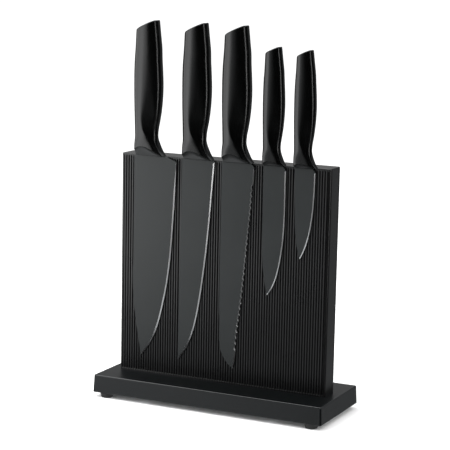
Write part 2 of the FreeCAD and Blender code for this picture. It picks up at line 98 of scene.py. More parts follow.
# Each bolster's hollow ends upward in an arch: its height at the spine, and at its peak.
ARCHES = {
    "chef": (5.6 * MM, 9.8 * MM),
    "carving": (3.9 * MM, 8.6 * MM),
    "bread": (4.0 * MM, 8.8 * MM),
    "utility": (1.6 * MM, 4.6 * MM),
    "paring": (1.6 * MM, 4.6 * MM),
}
ARCH_PEAK_PLACE = 0.38
ARCH_LOWEST = 0.4 * MM
ARCH_RINGS = 14
ABOVE_ARCH_RINGS = 10
ARCH_DEPTH = 0.75
ARCH_STRAIGHTNESS = 0.55
COVE_WEB = 0.55 * MM
HANDLE_COLUMNS = 56
SECTION_EXPONENT = 2.5
NECK_SOFTENING = 0.3
NECK_SHARES = (0.14, 0.42)
FACET_SQUARING = 2.2
FACET_SHARES = (0.05, 0.15)
HOLLOW_SOFTNESS = (0.15 * MM, 0.75 * MM)
HOLLOW_SOFTNESS_SHARES = (0.15, 0.42)
HOLLOW_LEAST = 0.9 * MM
NECK_TOP_SHARE = 0.30
BODY_TOP_SHARE = 0.86
BUTT_ROUNDING = 1.1 * MM
BUTT_CLEARANCE = 0.1 * MM

# Shares of a handle's length, up from the shoulder, at which its outline is measured.
KNOT_SHARES = (0.004, 0.03, 0.06, 0.09, 0.12, 0.155, 0.20, 0.26, 0.33, 0.42, 0.52, 0.62, 0.72, 0.80, 0.88)

# The crease on a handle's flank: shares of the length, the crease's place as a share of the depth,
# and how fast the surface falls away behind it.
CREASE_SHARES = (0.0, 0.06, 0.136, 0.21, 0.30, 0.42, 0.55, 0.75, 1.0)
CREASE_PLACES = (0.92, 0.768, 0.574, 0.393, 0.30, 0.38, 0.48, 0.60, 0.66)
CREASE_SLOPES = (0.55, 0.50, 0.37, 0.21, 0.16, 0.14, 0.13, 0.12, 0.12)

# What the gloss sees of the room: strengths, and where each patch starts and is full.
ROOM_SIZE = 60.0
ROOM_GLOW = 1.22
CEILING_GLOSS = 1.2
CEILING_EDGE = (0.35, 0.65)
TABLE_GLOSS = 1.2
TABLE_EDGE = (-0.25, -0.65)
CORNER_GLOSS = 0.2
CORNER_DIRECTION = (0.42, 0.90, -0.12)
CORNER_EDGE = (0.80, 0.96)
CARD_GLOSS = 0.85
CARD_DIRECTION = (-0.62, -0.76, -0.20)
CARD_EDGE = (0.90, 0.99)

# Name, place, target, width, height and power of each soft light.
SOFT_LIGHTS = (
    ("key_softbox", (-0.634, -0.127, 0.46), (-0.189, 0.768, 0.46), 0.885, 0.90, 5.2),
    ("key_edge", (-0.215, -0.335, 0.46), (0.230, 0.560, 0.46), 0.05, 0.90, 0.14),
    ("overhead", (-0.45, -0.2, 1.9), (0.0, 0.0, 0.0), 1.6, 1.0, 22.0),
    ("right_strip", (0.77, -0.31, 0.36), (0.0, 0.0, 0.36), 0.12, 0.72, 1.3),
    ("back_wall", (-0.8, 1.6, 0.45), (-0.1, 0.0, 0.2), 1.9, 0.7, 1.7),
)

CAMERA_PLACE = (0.687298, -1.448531, 0.450963)
CAMERA_YAW = math.radians(25.475)
CAMERA_PITCH = math.radians(9.566)
CAMERA_ROLL = math.radians(1.146)
CAMERA_LENS = 131.53
CAMERA_SENSOR = 36.0


# ---------------------------------------------------------------- small helpers
def smoothstep(low, high, value):
    share = min(max((value - low) / (high - low), 0.0), 1.0)
    return share * share * (3 - 2 * share)


def soft_min(a, b, radius):
    """The smaller of two numbers, with the corner where they meet rounded off."""
    overlap = max(radius - abs(a - b), 0.0)
    return min(a, b) - overlap * overlap / (4 * radius)


def smooth_curve(knots, values):
    """A smooth function through the values at rising knots. Past either end it goes on straight."""
    last = len(knots) - 1
    slopes = []
    for i in range(last + 1):
        before = max(i - 1, 0)
        after = min(i + 1, last)
        slopes.append((values[after] - values[before]) / (knots[after] - knots[before]))

    def value_at(x):
        if x <= knots[0]:
            return values[0] + slopes[0] * (x - knots[0])
        if x >= knots[last]:
            return values[last] + slopes[last] * (x - knots[last])
        i = bisect.bisect_right(knots, x) - 1
        step = knots[i + 1] - knots[i]
        t = (x - knots[i]) / step
        start = values[i] * (1 + 2 * t) + slopes[i] * step * t
        end = values[i + 1] * (3 - 2 * t) - slopes[i + 1] * step * (1 - t)
        return start * (1 - t) ** 2 + end * t * t

    return value_at


def make_object(name, vertices, faces, sharp_angle, face_materials=None):
    mesh = bpy.data.meshes.new(name)
    mesh.from_pydata(vertices, [], faces)
    mesh.validate()
    if face_materials:
        mesh.polygons.foreach_set("material_index", face_materials)
    mesh.polygons.foreach_set("use_smooth", [True] * len(mesh.polygons))
    mesh.update()
    mesh.set_sharp_from_angle(angle=math.radians(sharp_angle))
    piece = bpy.data.objects.new(name, mesh)
    bpy.context.scene.collection.objects.link(piece)
    return piece


def loft(loops):
    """Vertices and faces of the closed solid that passes through these loops, capped at both ends."""
    count = len(loops[0])
    vertices = [point for loop in loops for point in loop]
    faces = []
    for k in range(len(loops) - 1):
        low, high = k * count, (k + 1) * count
        for j in range(count):
            n = (j + 1) % count
            faces.append((low + j, low + n, high + n, high + j))
    faces.append(tuple(reversed(range(count))))
    faces.append(tuple(range((len(loops) - 1) * count, len(loops) * count)))
    return vertices, faces


def keep_flats_flat(piece):
    modifier = piece.modifiers.new("flat_faces", "WEIGHTED_NORMAL")
    modifier.keep_sharp = True
    modifier.weight = 80


def dress(piece, body, slot, *nodes):
    """Joins a finished piece to its CAD body and hides the CAD nodes that it stands for. The slot argument
    is not used.
    """
    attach(piece, body)
    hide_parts(*nodes)


def quarter_turn(steps):
    return [math.pi / 2 * i / steps for i in range(steps + 1)]


# ---------------------------------------------------------------- material helpers
def start_material(name):
    material = bpy.data.materials.new(name)
    material.use_nodes = True
    tree = material.node_tree
    return material, tree, tree.nodes["Principled BSDF"]


def object_noise(tree, scale, detail, stretch=(1.0, 1.0, 1.0)):
    """A noise value in the piece's own space, so that it moves with the piece."""
    place = tree.nodes.new("ShaderNodeTexCoord")
    mapping = tree.nodes.new("ShaderNodeMapping")
    mapping.inputs["Scale"].default_value = stretch
    tree.links.new(place.outputs["Object"], mapping.inputs["Vector"])
    texture = tree.nodes.new("ShaderNodeTexNoise")
    texture.inputs["Scale"].default_value = scale
    texture.inputs["Detail"].default_value = detail
    tree.links.new(mapping.outputs["Vector"], texture.inputs["Vector"])
    return texture.outputs["Fac"]


def colour_between(tree, factor, dark, light, low=0.35, high=0.65):
    ramp = tree.nodes.new("ShaderNodeValToRGB")
    ramp.color_ramp.elements[0].position = low
    ramp.color_ramp.elements[0].color = (*dark, 1.0)
    ramp.color_ramp.elements[1].position = high
    ramp.color_ramp.elements[1].color = (*light, 1.0)
    tree.links.new(factor, ramp.inputs["Fac"])
    return ramp.outputs["Color"]


def number_between(tree, factor, low, high):
    spread = tree.nodes.new("ShaderNodeMapRange")
    spread.inputs["From Min"].default_value = 0.3
    spread.inputs["From Max"].default_value = 0.7
    spread.inputs["To Min"].default_value = low
    spread.inputs["To Max"].default_value = high
    tree.links.new(factor, spread.inputs["Value"])
    return spread.outputs["Result"]


def bump(tree, height, strength, distance):
    node = tree.nodes.new("ShaderNodeBump")
    node.inputs["Strength"].default_value = strength
    node.inputs["Distance"].default_value = distance
    tree.links.new(height, node.inputs["Height"])
    return node.outputs["Normal"]


def surface_material(name, dark, light, roughness, grain, metallic=0.0, specular=0.5, stretch=(1, 1, 1)):
    """A surface whose colour and gloss drift a little, under a fine grain that also roughens it.

    roughness is (lowest, highest); grain is (noise scale, bump strength, bump height)."""
    material, tree, shader = start_material(name)
    drift = object_noise(tree, 38.0, 4.0)
    fine = object_noise(tree, grain[0], 3.0, stretch)
    mixed = tree.nodes.new("ShaderNodeMath")
    mixed.operation = "MULTIPLY_ADD"
    mixed.inputs[1].default_value = 0.5
    tree.links.new(fine, mixed.inputs[0])
    halved = tree.nodes.new("ShaderNodeMath")
    halved.operation = "MULTIPLY"
    halved.inputs[1].default_value = 0.5
    tree.links.new(drift, halved.inputs[0])
    tree.links.new(halved.outputs[0], mixed.inputs[2])
    tree.links.new(colour_between(tree, mixed.outputs[0], dark, light), shader.inputs["Base Color"])
    tree.links.new(number_between(tree, mixed.outputs[0], *roughness), shader.inputs["Roughness"])
    tree.links.new(bump(tree, fine, grain[1], grain[2]), shader.inputs["Normal"])
    shader.inputs["Metallic"].default_value = metallic
    shader.inputs["Specular IOR Level"].default_value = specular
    return material


def brushed_metal(name, dark, light, roughness, stretch):
    """Bare metal with fine scratches along the direction that stretch leaves long."""
    return surface_material(
        name, dark, light, roughness, (900.0, 0.25, 0.02 * MM), metallic=1.0, stretch=stretch
    )


# ---------------------------------------------------------------- materials
def make_materials():
    base_dark, base_light = (0.0016, 0.0021, 0.0024), (0.0025, 0.0033, 0.0036)
    return {
        "base_plastic": surface_material(
            "base_plastic", base_dark, base_light, (0.17, 0.22), (2600.0, 0.22, 0.03 * MM)
        ),
        # Painted shade: the base's top face gets this copy of base_plastic with weaker, rougher gloss, so
        # that the top looks darker, as if shaded by the board.
        "base_top_painted_shade": surface_material(
            "base_top_painted_shade", base_dark, base_light, (0.30, 0.36), (2600.0, 0.22, 0.03 * MM), specular=0.16
        ),
        "board_plastic": surface_material(
            "board_plastic",
            (0.0008, 0.0009, 0.0010),
            (0.0014, 0.0015, 0.0016),
            (0.26, 0.32),
            (2200.0, 0.15, 0.02 * MM),
        ),
        "underside_plastic": surface_material(
            "underside_plastic", (0.014,) * 3, (0.02,) * 3, (0.5, 0.65), (1500.0, 0.3, 0.04 * MM)
        ),
        "carrier_plastic": surface_material(
            "carrier_plastic", (0.26,) * 3, (0.34,) * 3, (0.45, 0.6), (1500.0, 0.3, 0.04 * MM)
        ),
        "foot_rubber": surface_material(
            "foot_rubber", (0.006,) * 3, (0.012,) * 3, (0.62, 0.8), (1900.0, 0.4, 0.05 * MM)
        ),
        "bare_steel": brushed_metal("bare_steel", (0.42,) * 3, (0.56,) * 3, (0.3, 0.45), (0.1, 1, 1)),
        "ground_steel": brushed_metal("ground_steel", (0.66,) * 3, (0.84,) * 3, (0.26, 0.38), (1, 1, 0.15)),
        "zinc_fasteners": brushed_metal(
            "zinc_fasteners", (0.5, 0.51, 0.53), (0.66, 0.67, 0.68), (0.28, 0.42), (1, 1, 1)
        ),
        "aluminium_bar": brushed_metal(
            "aluminium_bar", (0.62, 0.62, 0.63), (0.76, 0.76, 0.77), (0.3, 0.42), (0.08, 1, 1)
        ),
        "ferrite": surface_material(
            "ferrite", (0.03, 0.03, 0.032), (0.06, 0.06, 0.062), (0.6, 0.8), (1400.0, 0.5, 0.06 * MM)
        ),
        "coated_blade": surface_material(
            "coated_blade",
            (0.0090, 0.0110, 0.0112),
            (0.0120, 0.0142, 0.0145),
            (0.40, 0.47),
            (3000.0, 0.12, 0.02 * MM),
            specular=0.38,
        ),
        "coated_bolster": surface_material(
            "coated_bolster",
            (0.0030, 0.0034, 0.0034),
            (0.0040, 0.0044, 0.0044),
            (0.28, 0.34),
            (2400.0, 0.05, 0.01 * MM),
        ),
        "handle_plastic": surface_material(
            "handle_plastic",
            (0.0003, 0.0004, 0.0004),
            (0.0006, 0.0007, 0.0007),
            (0.17, 0.21),
            (2000.0, 0.05, 0.01 * MM),
            specular=0.44,
        ),
    }


# ---------------------------------------------------------------- base and feet
def rounded_rectangle(half_x, half_y, radius, z, steps=8):
    """A level loop, counter-clockwise from above, with rounded corners."""
    loop = []
    for corner, (sign_x, sign_y) in enumerate(((1, 1), (-1, 1), (-1, -1), (1, -1))):
        centre_x = sign_x * (half_x - radius)
        centre_y = sign_y * (half_y - radius)
        for angle in quarter_turn(steps):
            turn = angle + corner * math.pi / 2
            loop.append((centre_x + radius * math.cos(turn), centre_y + radius * math.sin(turn), z))
    return loop


def make_base(materials):
    low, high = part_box("base_shell")
    half_x, half_y = high.x, high.y
    roof = high.z - BASE_ROOF
    inner_x = half_x - BASE_DRAFT - BASE_WALL
    inner_y = half_y - BASE_DRAFT - BASE_WALL
    loops = [
        rounded_rectangle(inner_x, inner_y, BASE_WALL / 4, roof),
        rounded_rectangle(inner_x, inner_y, BASE_WALL / 4, low.z),
    ]
    for angle in quarter_turn(4):
        inset = BASE_BOTTOM_ROUNDING * (1 - math.sin(angle))
        lift = BASE_BOTTOM_ROUNDING * (1 - math.cos(angle))
        loops.append(rounded_rectangle(half_x - inset, half_y - inset, BASE_CORNER, low.z + lift))
    for angle in quarter_turn(6):
        inset = BASE_DRAFT + BASE_TOP_ROUNDING * (1 - math.cos(angle))
        z = high.z - BASE_TOP_ROUNDING * (1 - math.sin(angle))
        loops.append(rounded_rectangle(half_x - inset, half_y - inset, BASE_CORNER, z))
    vertices, faces = loft(loops)
    # The top face alone takes the weaker-gloss copy of the base plastic, a painted shade; the other faces
    # take base_plastic.
    slot_per_face = [0] * (len(faces) - 1) + [1]
    piece = make_object("base_casing", vertices, faces, sharp_angle=50, face_materials=slot_per_face)
    keep_flats_flat(piece)
    piece.data.materials.append(materials["base_plastic"])
    piece.data.materials.append(materials["base_top_painted_shade"])
    dress(piece, "stand", "base_plastic", "base_shell")


def circle(centre, radius, z, steps=48):
    turns = [2 * math.pi * i / steps for i in range(steps)]
    return [(centre.x + radius * math.cos(t), centre.y + radius * math.sin(t), z) for t in turns]


def make_foot(node, materials):
    low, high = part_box(node)
    centre = (low + high) / 2
    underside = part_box("base_underplate")[0].z
    radius = (high.x - low.x) / 2
    top_radius = radius * FOOT_TOP_SHARE
    bottom_radius = radius * FOOT_BOTTOM_SHARE
    rings = [
        (FOOT_DIMPLE_RADIUS * 0.7, low.z + FOOT_DIMPLE_DEPTH),
        (FOOT_DIMPLE_RADIUS, low.z + FOOT_DIMPLE_DEPTH * 0.3),
        (FOOT_DIMPLE_RADIUS * 1.15, low.z),
    ]
    for angle in quarter_turn(6):
        rings.append(
            (
                bottom_radius - FOOT_ROUNDING * (1 - math.sin(angle)),
                low.z + FOOT_ROUNDING * (1 - math.cos(angle)),
            )
        )
    rings += [
        (top_radius, underside - 0.9 * MM),
        (radius, underside - 0.5 * MM),
        (radius, underside),
        (FOOT_STEM_RADIUS, underside),
        (FOOT_STEM_RADIUS, high.z),
    ]
    loops = [circle(centre, ring_radius, z) for ring_radius, z in rings]
    piece = make_object(node + "_pad", *loft(loops), sharp_angle=40)
    piece.data.materials.append(materials["foot_rubber"])
    dress(piece, "stand", "foot_rubber", node)


# ---------------------------------------------------------------- ribbed board
def groove_centres():
    first = -GROOVE_PITCH * (GROOVE_COUNT - 1) / 2
    return [first + GROOVE_PITCH * i for i in range(GROOVE_COUNT)]


def groove_depth(x, z, low_end, high_end):
    """How far the face lies below its crests: crowned ribs between grooves with round ends."""
    index = round(x / GROOVE_PITCH + (GROOVE_COUNT - 1) / 2)
    index = min(max(index, 0), GROOVE_COUNT - 1)
    centre = GROOVE_PITCH * (index - (GROOVE_COUNT - 1) / 2)
    past_end = max(low_end - z, z - high_end, 0.0)
    reach = math.hypot(x - centre, past_end)
    side = max(1 - reach / (GROOVE_PITCH / 2), 0.0)
    crowned = RIB_CROWN * side * side * (1 - smoothstep(0.0, 1.5 * MM, past_end))
    sunk = 1 - smoothstep(GROOVE_FLOOR_REACH, GROOVE_LIP_REACH, reach)
    return crowned + (GROOVE_DEPTH - RIB_CROWN) * sunk


def board_outline(half_x, depth):
    """Points of the plan outline and their outward directions; y runs from 0 at the seam to -depth."""
    outline = [
        ((-half_x + SEAM_CHAMFER, 0.0), (-1.0, 0.0)),
        ((-half_x, -SEAM_CHAMFER), (-1.0, 0.0)),
    ]
    centre_x = half_x - BOARD_CORNER
    centre_y = -depth + BOARD_CORNER
    for angle in quarter_turn(7):
        across, ahead = math.cos(angle), math.sin(angle)
        point = (-centre_x - BOARD_CORNER * across, centre_y - BOARD_CORNER * ahead)
        outline.append((point, (-across, -ahead)))
    for centre in groove_centres():
        half = GROOVE_STEPS + RIB_STEPS
        reaches = [-GROOVE_PITCH / 2] + [-r for r in reversed(half)] + [0.0] + list(half)
        for reach in reaches:
            x = centre + reach
            if -centre_x < x < centre_x:
                outline.append(((x, -depth), (0.0, -1.0)))
    for angle in reversed(quarter_turn(7)):
        across, ahead = math.cos(angle), math.sin(angle)
        point = (centre_x + BOARD_CORNER * across, centre_y - BOARD_CORNER * ahead)
        outline.append((point, (across, -ahead)))
    outline.append(((half_x, -SEAM_CHAMFER), (1.0, 0.0)))
    outline.append(((half_x - SEAM_CHAMFER, 0.0), (1.0, 0.0)))
    return outline


def board_heights(low_z, high_z, low_end, high_end):
    """Rising (height, inset) pairs, close together where the grooves end and at the rounded top."""
    heights = [(low_z, 0.0)]
    heights += [(low_end - reach, 0.0) for reach in reversed(GROOVE_STEPS)]
    middle = 12
    heights += [(low_end + (high_end - low_end) * i / middle, 0.0) for i in range(middle + 1)]
    heights += [(high_end + reach, 0.0) for reach in GROOVE_STEPS]
    for angle in quarter_turn(6):
        rise = high_z - BOARD_TOP_ROUNDING * (1 - math.sin(angle))
        heights.append((rise, BOARD_TOP_ROUNDING * (1 - math.cos(angle))))
    return heights


def make_board_shell(name, node, facing, materials):
    """One half of the board: a ribbed tray, open at the seam and at the foot. facing is -1 or 1 along Y."""
    low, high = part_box(node)
    front_low, front_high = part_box("panel_front_shell")
    seam = front_high.y
    depth = seam - front_low.y if facing < 0 else high.y - seam
    cavity_depth = depth - BOARD_WALL
    low_end = low.z + GROOVE_LOW_END
    high_end = high.z - GROOVE_HIGH_END
    ceiling = high.z - BOARD_WALL
    outline = board_outline(high.x, depth)
    heights = board_heights(low.z, high.z, low_end, high_end)
    count = len(outline)
    rows = len(heights)

    vertices = []
    for z, inset in heights:
        for (x, y), (out_x, out_y) in outline:
            sunk = 0.0
            if out_x == 0.0:
                sunk = groove_depth(x, z, low_end, high_end)
            place_x = x - out_x * inset
            place_y = y - out_y * inset + sunk
            vertices.append((place_x, seam - facing * place_y, z))
    inner_x = high.x - BOARD_WALL
    inner = len(vertices)
    for z in (low.z, ceiling):
        for x, y in ((-inner_x, 0.0), (-inner_x, -cavity_depth), (inner_x, -cavity_depth), (inner_x, 0.0)):
            vertices.append((x, seam - facing * y, z))

    faces = []
    for k in range(rows - 1):
        for j in range(count - 1):
            a = k * count + j
            faces.append((a, a + 1, a + count + 1, a + count))
    for j in range(3):
        faces.append((inner + j + 1, inner + j, inner + 4 + j, inner + 5 + j))
    faces.append((inner + 4, inner + 5, inner + 6, inner + 7)[::-1])
    rim = list(range(count)) + [inner + 3, inner + 2, inner + 1, inner]
    faces.append(tuple(reversed(rim)))
    left_edge = [k * count for k in range(rows)]
    right_edge = [k * count + count - 1 for k in reversed(range(rows))]
    faces.append(tuple(left_edge + right_edge + [inner + 3, inner + 7, inner + 4, inner]))
    faces.append(tuple(range((rows - 1) * count, rows * count)))
    if facing > 0:
        faces = [tuple(reversed(face)) for face in faces]
    piece = make_object(name, vertices, faces, sharp_angle=75)
    keep_flats_flat(piece)
    piece.data.materials.append(materials["board_plastic"])
    dress(piece, "stand", "board_plastic", node)


# ---------------------------------------------------------------- measuring the CAD knives
def ray_tree(*nodes):
    vertices = []
    polygons = []
    for node in nodes:
        mesh = frame["nodes"][node].data
        start = len(vertices)
        vertices += [vertex.co.copy() for vertex in mesh.vertices]
        polygons += [[start + i for i in polygon.vertices] for polygon in mesh.polygons]
    return BVHTree.FromPolygons(vertices, polygons)


def span_at(tree, y, z, low_x, high_x):
    """The CAD solid's first and last x along the line at this y and z, or None past its end."""
    margin = 0.01
    left = tree.ray_cast(Vector((low_x - margin, y, z)), Vector((1, 0, 0)))[0]
    right = tree.ray_cast(Vector((high_x + margin, y, z)), Vector((-1, 0, 0)))[0]
    if left is None or right is None:
        return None
    return left.x, right.x


# ---------------------------------------------------------------- blades
def blade_heights(depth, fine):
    """Distances below the shoulder, rising, with the shoulder's own steps first."""
    heights = [0.0, 0.3 * MM, 0.6 * MM, 1.1 * MM, 1.6 * MM, 2.3 * MM]
    step = 0.5 * MM if fine else 1.0 * MM
    count = int((depth - 5 * MM) / step)
    heights += [2.3 * MM + step * (i + 1) for i in range(count)]
    near_tip = depth - heights[-1]
    heights += [heights[-1] + near_tip * share for share in (0.25, 0.5, 0.7, 0.85, 0.94, 0.985)]
    return heights


def blade_rows(node, fine):
    """(distance below the shoulder, x of the back, x of the edge) at each height of a CAD blade."""
    low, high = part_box(node)
    bolster_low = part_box(node.replace("_blade", "_bolster"))[0]
    shoulder = bolster_low.z
    tree = ray_tree(node)
    middle_y = (low.y + high.y) / 2
    rows = []
    for below in blade_heights(shoulder - low.z, fine):
        z = shoulder - max(below, 0.01 * MM)
        span = span_at(tree, middle_y, z, low.x, high.x)
        if span:
            rows.append((below, *span))
    return rows, shoulder, middle_y, (high.y - low.y) / 2


def make_blade(name, materials, ground_from, full_bevel):
    """A coated blade whose cutting edge is ground bare, widening from the heel over ground_from."""
    node = f"{name}_blade"
    serrated = name == "bread"
    rows, shoulder, middle_y, half = blade_rows(node, serrated)
    shoulder_cut = smooth_curve([s[0] for s in SHOULDER_STEPS], [s[1] for s in SHOULDER_STEPS])
    heel = max((row for row in rows if row[0] < HEEL_SEARCH), key=lambda row: row[2])[0]
    loops = []
    for i, (below, back_x, edge_x) in enumerate(rows):
        before = rows[max(i - 1, 0)]
        after = rows[min(i + 1, len(rows) - 1)]
        slope = (after[2] - before[2]) / (after[0] - before[0])
        if serrated:
            slope = 0.0
        grown = smoothstep(heel - 0.3 * MM, heel + ground_from, below)
        wanted = full_bevel * math.sqrt(1 + slope * slope)
        bevel = max(min(wanted * grown, 0.6 * (edge_x - back_x)), 0.04 * MM)
        thick = half
        if below < SHOULDER_STEPS[-1][0]:
            thick = half - shoulder_cut(below)
        land = BEVEL_LAND + (thick - BEVEL_LAND) * (1 - min(bevel / wanted, 1.0))
        nick = min(SPINE_BREAK, 0.2 * (edge_x - back_x))
        flank = (
            (back_x, thick - nick),
            (back_x + nick, thick),
            (edge_x - bevel, thick),
            (edge_x, land),
        )
        z = shoulder - below
        front = [(x, middle_y - t, z) for x, t in flank]
        back = [(x, middle_y + t, z) for x, t in reversed(flank)]
        loops.append(front + back)
    tip_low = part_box(node)[0].z
    last = loops[-1]
    tip_x = (last[0][0] + last[3][0]) / 2 + (last[3][0] - loops[-2][3][0])
    tip_x = min(max(tip_x, last[0][0]), last[3][0])
    tip = [(tip_x, middle_y + (point[1] - middle_y) * 0.1, tip_low) for point in last]
    loops.append(tip)
    vertices, faces = loft(loops)
    count = len(loops[0])
    ground_columns = (2, 3, 4)
    slot_per_face = [1 if i % count in ground_columns else 0 for i in range(len(faces) - 2)] + [0, 0]
    for k in range(len(loops) - 1):
        if rows[min(k, len(rows) - 1)][0] < heel - 0.2 * MM:
            for column in ground_columns:
                slot_per_face[k * count + column] = 0
    faces = [tuple(reversed(face)) for face in faces]
    piece = make_object(f"{name}_blade_ground", vertices, faces, sharp_angle=18, face_materials=slot_per_face)
    piece.data.materials.append(materials["coated_blade"])
    piece.data.materials.append(materials["ground_steel"])
    dress(piece, f"{name}_knife", "coated_blade", node)


# ---------------------------------------------------------------- handles and bolsters
class Grip:
    """The measured outline of one knife's handle, and the shape of its surface."""

    def __init__(self, name):
        self.bolster = f"{name}_bolster"
        self.handle = f"{name}_handle"
        low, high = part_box(self.handle)
        self.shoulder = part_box(self.bolster)[0].z
        self.split = low.z - self.shoulder
        self.length = high.z - self.shoulder
        self.spine_x = low.x
        self.depth = high.x - low.x
        self.middle_y = (low.y + high.y) / 2
        tree = ray_tree(self.bolster, self.handle)
        knots = [share * self.length for share in KNOT_SHARES]
        spans = [span_at(tree, self.middle_y, self.shoulder + w, low.x, high.x) for w in knots]
        self.spine = smooth_curve(knots, [span[0] - self.spine_x for span in spans])
        self.belly = smooth_curve(knots, [span[1] - self.spine_x for span in spans])
        halves = []
        for w, span in zip(knots, spans):
            z = self.shoulder + max(w, self.split + 1.5 * MM)
            start = Vector(((span[0] + min(span[1], high.x)) / 2, low.y - 0.01, z))
            halves.append(self.middle_y - tree.ray_cast(start, Vector((0, 1, 0)))[0].y)
        self.half = smooth_curve(knots, halves)
        self.crown = self.measure_crown(tree, high.z)
        self.arch_base, self.arch_peak = ARCHES[name]
        crease = [place * self.depth for place in CREASE_PLACES]
        self.crease = smooth_curve([share * self.length for share in CREASE_SHARES], crease)
        self.steepness = smooth_curve([share * self.length for share in CREASE_SHARES], CREASE_SLOPES)

    def measure_crown(self, tree, top):
        """The arc of the butt end, through three heights of the CAD handle's end."""
        spine, belly = self.spine(self.length), self.belly(self.length)
        us = [spine + share * (belly - spine) for share in (0.14, 0.48, 0.82)]
        ws = []
        for u in us:
            start = Vector((self.spine_x + u, self.middle_y, top + 0.02))
            ws.append(tree.ray_cast(start, Vector((0, 0, -1)))[0].z - self.shoulder)

        def height(u):
            total = 0.0
            for i in range(3):
                share = 1.0
                for j in range(3):
                    if j != i:
                        share *= (u - us[j]) / (us[i] - us[j])
                total += ws[i] * share
            return soft_min(total, top - self.shoulder, 0.6 * MM) - BUTT_CLEARANCE

        return height

    def arch(self, s):
        """How high the bolster's hollow reaches, s of the way from spine to belly."""
        if s < ARCH_PEAK_PLACE:
            past_peak = 1 - s / ARCH_PEAK_PLACE
            return self.arch_peak - (self.arch_peak - self.arch_base) * past_peak**2
        past_peak = (s - ARCH_PEAK_PLACE) / (1 - ARCH_PEAK_PLACE)
        return ARCH_LOWEST + (self.arch_peak - ARCH_LOWEST) * max(1 - past_peak**1.8, 0.0) ** 0.9

    def half_thickness(self, s, w):
        """Half the thickness, s of the way from spine to belly and w above the shoulder."""
        share = w / self.length
        half = self.half(w)
        exponent = SECTION_EXPONENT - NECK_SOFTENING * (1 - smoothstep(*NECK_SHARES, share))
        exponent += FACET_SQUARING * (1 - smoothstep(*FACET_SHARES, share))
        rounded = half * max(1 - abs(2 * s - 1) ** exponent, 0.0) ** (1 / exponent)
        u = self.spine(w) + s * (self.belly(w) - self.spine(w))
        hollow = half - self.steepness(w) * (u - self.crease(w))
        softness = HOLLOW_SOFTNESS[0] + HOLLOW_SOFTNESS[1] * smoothstep(*HOLLOW_SOFTNESS_SHARES, share)
        thickness = soft_min(rounded, max(hollow, HOLLOW_LEAST), softness)
        arch = self.arch(s)
        if w < arch and thickness > COVE_WEB:
            scoop = 1 - math.sqrt(1 - (ARCH_DEPTH * w / arch) ** 2)
            scoop /= 1 - math.sqrt(1 - ARCH_DEPTH**2)
            swell = ARCH_STRAIGHTNESS * w / arch + (1 - ARCH_STRAIGHTNESS) * scoop
            thickness = COVE_WEB + (thickness - COVE_WEB) * swell
        return max(thickness, 0.0)

    def ring(self, height_at, inset=0.0):
        """Front and back points, spine to belly; height_at(s, u) gives the height above the shoulder."""
        front = []
        back = []
        for j in range(HANDLE_COLUMNS + 1):
            s = 0.5 * (1 - math.cos(math.pi * j / HANDLE_COLUMNS))
            u = s * self.depth
            for _ in range(3):
                w = height_at(s, u)
                width = self.belly(w) - self.spine(w)
                u = self.spine(w) + inset + s * (width - 2 * inset)
            t = 0.0
            if 0 < j < HANDLE_COLUMNS:
                t = self.half_thickness(s, w) * (1 - inset / self.half(w))
            x = self.spine_x + u
            z = self.shoulder + w
            front.append((x, self.middle_y - t, z))
            back.append((x, self.middle_y + t, z))
        return front + back[-2:0:-1]


def level_rings(grip, low, high, step):
    count = max(1, round((high - low) / step))
    heights = [low + (high - low) * i / count for i in range(count + 1)]
    return [grip.ring(lambda s, u, w=w: w) for w in heights]


def stack(rings):
    """Joins the rings, and closes both ends with strips from the front to the back."""
    vertices, faces = loft(rings)
    faces = faces[:-2]
    count = len(rings[0])
    half = HANDLE_COLUMNS
    for first, flip in ((0, True), (count * (len(rings) - 1), False)):
        faces.append(order((first, first + 1, first + count - 1), flip))
        for j in range(1, half - 1):
            quad = (first + j, first + j + 1, first + count - j - 1, first + count - j)
            faces.append(order(quad, flip))
        faces.append(order((first + half - 1, first + half, first + half + 1), flip))
    return vertices, faces


def order(face, flip):
    return tuple(reversed(face)) if flip else face


def make_bolster(name, grip, materials):
    """The bolster: a coated hollow under the arch, and the handle's gloss above it."""
    rings = []
    for i in range(ARCH_RINGS + 1):
        rings.append(grip.ring(lambda s, u, f=i / ARCH_RINGS: f * grip.arch(s)))
    for i in range(1, ABOVE_ARCH_RINGS + 1):
        share = i / ABOVE_ARCH_RINGS
        rings.append(grip.ring(lambda s, u, f=share: grip.arch(s) + f * (grip.split - grip.arch(s))))
    vertices, faces = stack(rings)
    hollow = ARCH_RINGS * len(rings[0])
    sides = (len(rings) - 1) * len(rings[0])
    slot_per_face = [1 if hollow <= i < sides else 0 for i in range(len(faces))]
    piece = make_object(f"{name}_bolster_cove", vertices, faces, sharp_angle=28, face_materials=slot_per_face)
    piece.data.materials.append(materials["coated_bolster"])
    piece.data.materials.append(materials["handle_plastic"])
    dress(piece, f"{name}_knife", "coated_bolster", grip.bolster)


def make_handle(name, grip, materials):
    neck_top = NECK_TOP_SHARE * grip.length
    body_top = BODY_TOP_SHARE * grip.length
    rings = level_rings(grip, grip.split, neck_top, 0.6 * MM)
    rings += level_rings(grip, neck_top, body_top, 2.2 * MM)[1:]
    steps = 6
    for i in range(1, steps + 1):
        share = i / steps
        rings.append(
            grip.ring(lambda s, u, f=share: body_top + f * (grip.crown(u) - BUTT_ROUNDING - body_top))
        )
    for angle in quarter_turn(6)[1:]:
        drop = BUTT_ROUNDING * (1 - math.sin(angle))
        inset = BUTT_ROUNDING * (1 - math.cos(angle))
        rings.append(grip.ring(lambda s, u, d=drop: grip.crown(u) - d, inset))
    piece = make_object(f"{name}_handle_grip", *stack(rings), sharp_angle=55)
    piece.data.materials.append(materials["handle_plastic"])
    dress(piece, f"{name}_knife", "handle_plastic", grip.handle)


